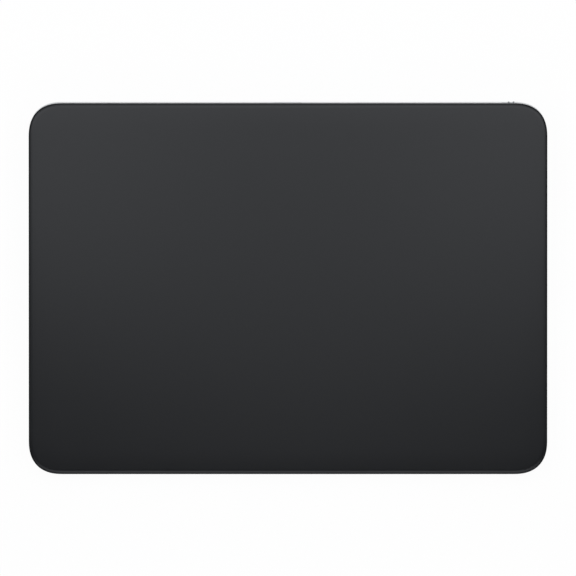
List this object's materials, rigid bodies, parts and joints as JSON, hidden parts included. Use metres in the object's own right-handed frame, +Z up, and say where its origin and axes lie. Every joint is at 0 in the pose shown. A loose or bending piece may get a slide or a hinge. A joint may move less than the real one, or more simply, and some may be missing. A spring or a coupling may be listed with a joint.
{
  "type": "trackpad",
  "caption": "Wedge-shaped wireless desk trackpad with a black glass touch plate floating on force flexures over a silver metal tray, with rear charging port and slide switch.",
  "frame": {"origin": "centre of the footprint, on the desk under the feet", "axes": "+X to the right along the long side, +Y to the rear, +Z up"},
  "size_m": [0.16, 0.115, 0.0109],
  "materials": {
    "anodised_tray": "bead-blasted and anodised, silver",
    "etched_glass": "etched matt, black behind",
    "clear_film": "clear bonding film",
    "circuit_board": "green solder mask",
    "chip_black": "moulded black",
    "spring_steel": "rolled strip",
    "screw_steel": "plated",
    "core_iron": "laminated",
    "coil_copper": "enamelled copper wire",
    "cell_foil": "pouch foil",
    "white_tape": "tape",
    "amber_film": "flexible circuit",
    "socket_plastic": "moulded ivory",
    "antenna_ceramic": "glazed",
    "port_steel": "drawn shell",
    "port_plastic": "moulded black",
    "contact_gold": "gold plated",
    "switch_plastic": "moulded black",
    "knob_metal": "anodised, silver",
    "gel_clear": "soft gel",
    "foot_rubber": "fine-grained dark grey rubber"
  },
  "bodies": {
    "base": {"tray": "anodised_tray", "main_board": "circuit_board", "battery_protection_board": "circuit_board", "board_chips": "chip_black", "flexure_front_left": "spring_steel", "flexure_front_right": "spring_steel", "flexure_rear_left": "spring_steel", "flexure_rear_right": "spring_steel", "haptic_base": "spring_steel", "shield_can": "spring_steel", "flexure_screws": "screw_steel", "haptic_screws": "screw_steel", "board_screws": "screw_steel", "haptic_cores": "core_iron", "haptic_coils": "coil_copper", "battery_cell": "cell_foil", "battery_tape": "white_tape", "battery_lead": "amber_film", "touch_flex": "amber_film", "haptic_ribbon": "amber_film", "sensor_ribbon_left": "amber_film", "sensor_ribbon_right": "amber_film", "strain_gauge_front_left": "amber_film", "strain_gauge_front_right": "amber_film", "strain_gauge_rear_left": "amber_film", "strain_gauge_rear_right": "amber_film", "board_connectors": "socket_plastic", "antenna": "antenna_ceramic", "port_shell": "port_steel", "port_tongue": "port_plastic", "port_contacts": "contact_gold", "switch_body": "switch_plastic", "foot_front_left": "foot_rubber", "foot_front_right": "foot_rubber", "foot_rear_left": "foot_rubber", "foot_rear_right": "foot_rubber"},
    "touch_plate": {"glass_surface": "etched_glass", "glass_bond": "clear_film", "touch_sensor_board": "circuit_board", "touch_controller_chips": "chip_black", "attraction_plate": "spring_steel"},
    "gel_pads": {"gel_pad_front_left": "gel_clear", "gel_pad_front_right": "gel_clear", "gel_pad_rear_left": "gel_clear", "gel_pad_rear_right": "gel_clear"},
    "power_slider": {"switch_knob": "knob_metal", "switch_lever": "switch_plastic"}
  },
  "joints": [
    {"name": "surface_press", "type": "slide", "parent": "base", "child": "gel_pads", "axis": [0, 0.0537, -0.9986], "range_m": [0, 0.0002], "stiffness_N_per_m": 15000, "springref_m": -0.00006, "deforming": ["flexure_front_left", "flexure_front_right", "flexure_rear_left", "flexure_rear_right", "strain_gauge_front_left", "strain_gauge_front_right", "strain_gauge_rear_left", "strain_gauge_rear_right", "touch_flex"]},
    {"name": "haptic_shift", "type": "slide", "parent": "gel_pads", "child": "touch_plate", "axis": [1, 0, 0], "range_m": [-0.0001, 0.0001], "stiffness_N_per_m": 20000},
    {"name": "power_switch", "type": "slide", "parent": "base", "child": "power_slider", "axis": [1, 0, 0], "range_m": [-0.002, 0]}
  ]
}
